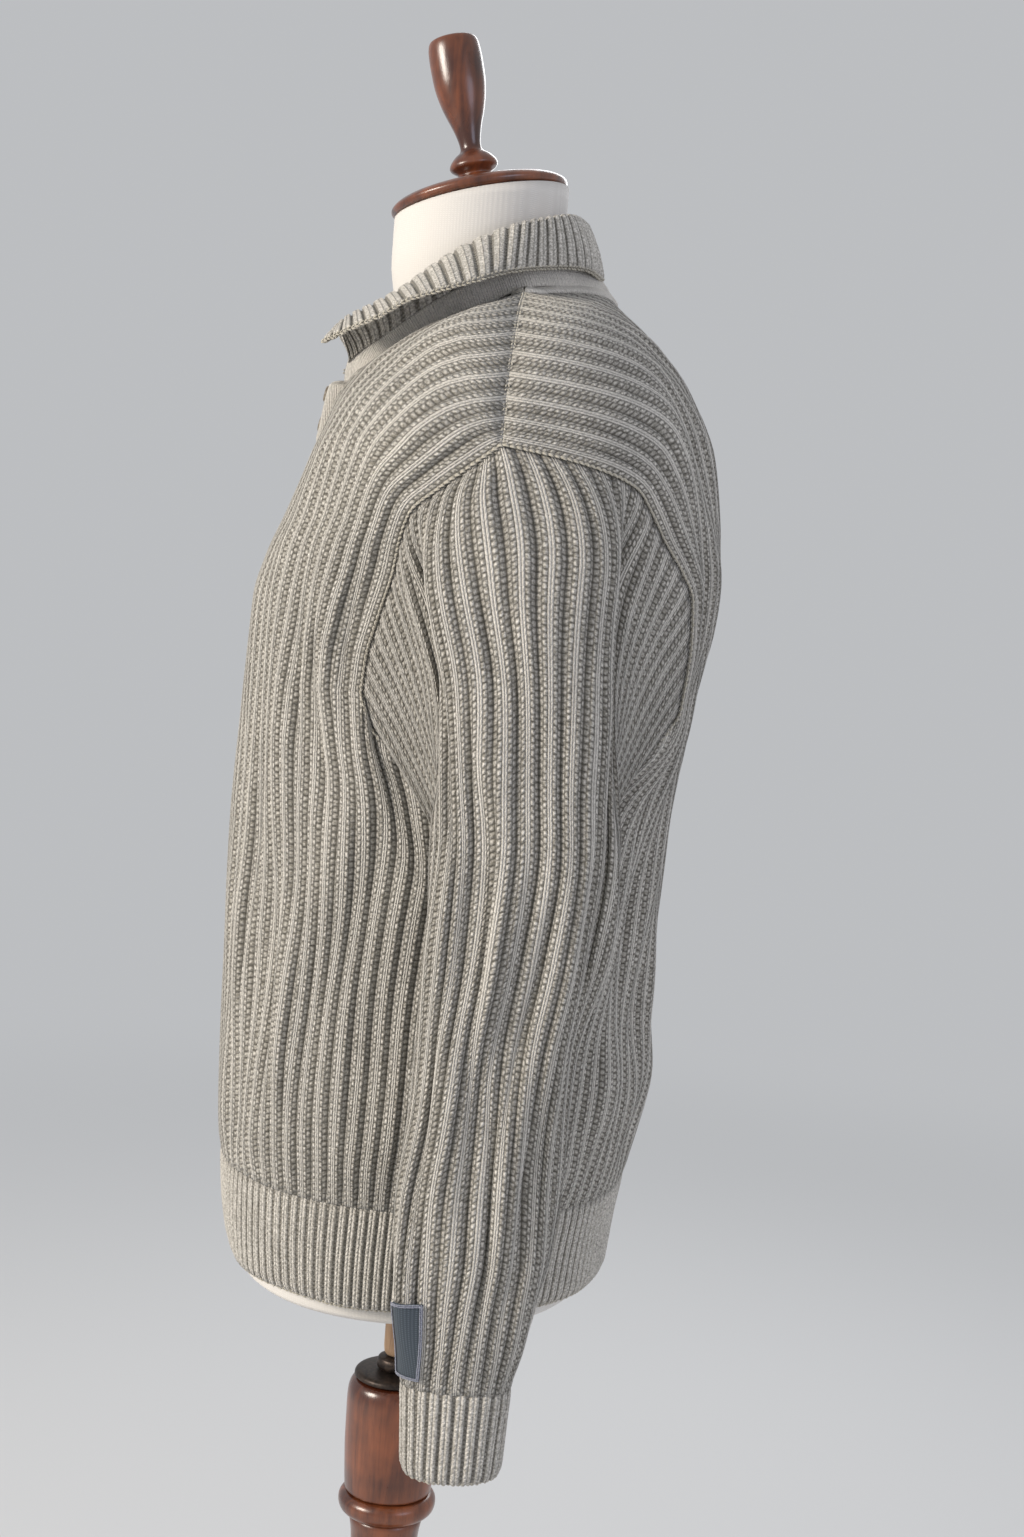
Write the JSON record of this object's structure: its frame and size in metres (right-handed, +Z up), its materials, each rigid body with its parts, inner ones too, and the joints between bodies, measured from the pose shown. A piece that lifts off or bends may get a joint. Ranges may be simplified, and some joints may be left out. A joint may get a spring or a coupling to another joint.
{
  "type": "turtleneck sweater on a dress form",
  "caption": "Ribbed knitted sweater with long sleeves, a fold-down collar and an open button neck, worn by a limbless dress form on a turned wooden stand.",
  "frame": {"origin": "middle of the stand's foot, on the floor", "axes": "+Z up along the stand's pole, -Y to the garment's front, +X to the wearer's left sleeve"},
  "size_m": [0.5482, 0.424, 1.606],
  "materials": {
    "ecru_wool": "ribbed ecru wool knit, dry and matte",
    "button_horn": "mottled horn, softly shining",
    "patch_weave": "dense dark woven patch, left bare",
    "form_cotton": "tight white cotton",
    "dark_wood": "red-brown varnished turning",
    "raw_wood": "plain unvarnished pole",
    "dark_iron": "dark satin metal"
  },
  "bodies": {
    "root": {"body_front": "ecru_wool", "body_back": "ecru_wool", "sleeve_left": "ecru_wool", "sleeve_right": "ecru_wool", "hem_front": "ecru_wool", "hem_back": "ecru_wool", "cuff_left": "ecru_wool", "cuff_right": "ecru_wool", "neck_band": "ecru_wool", "collar": "ecru_wool", "placket": "ecru_wool", "button_upper": "button_horn", "button_lower": "button_horn", "sleeve_label": "patch_weave", "form_torso": "form_cotton", "neck_cap": "dark_wood", "finial": "dark_wood", "stand_column": "dark_wood", "column_bead": "dark_wood", "stand_shaft": "dark_wood", "stand_base": "dark_wood", "stand_pole": "raw_wood", "pole_boss": "dark_iron", "stand_disc": "dark_iron"}
  },
  "joints": []
}
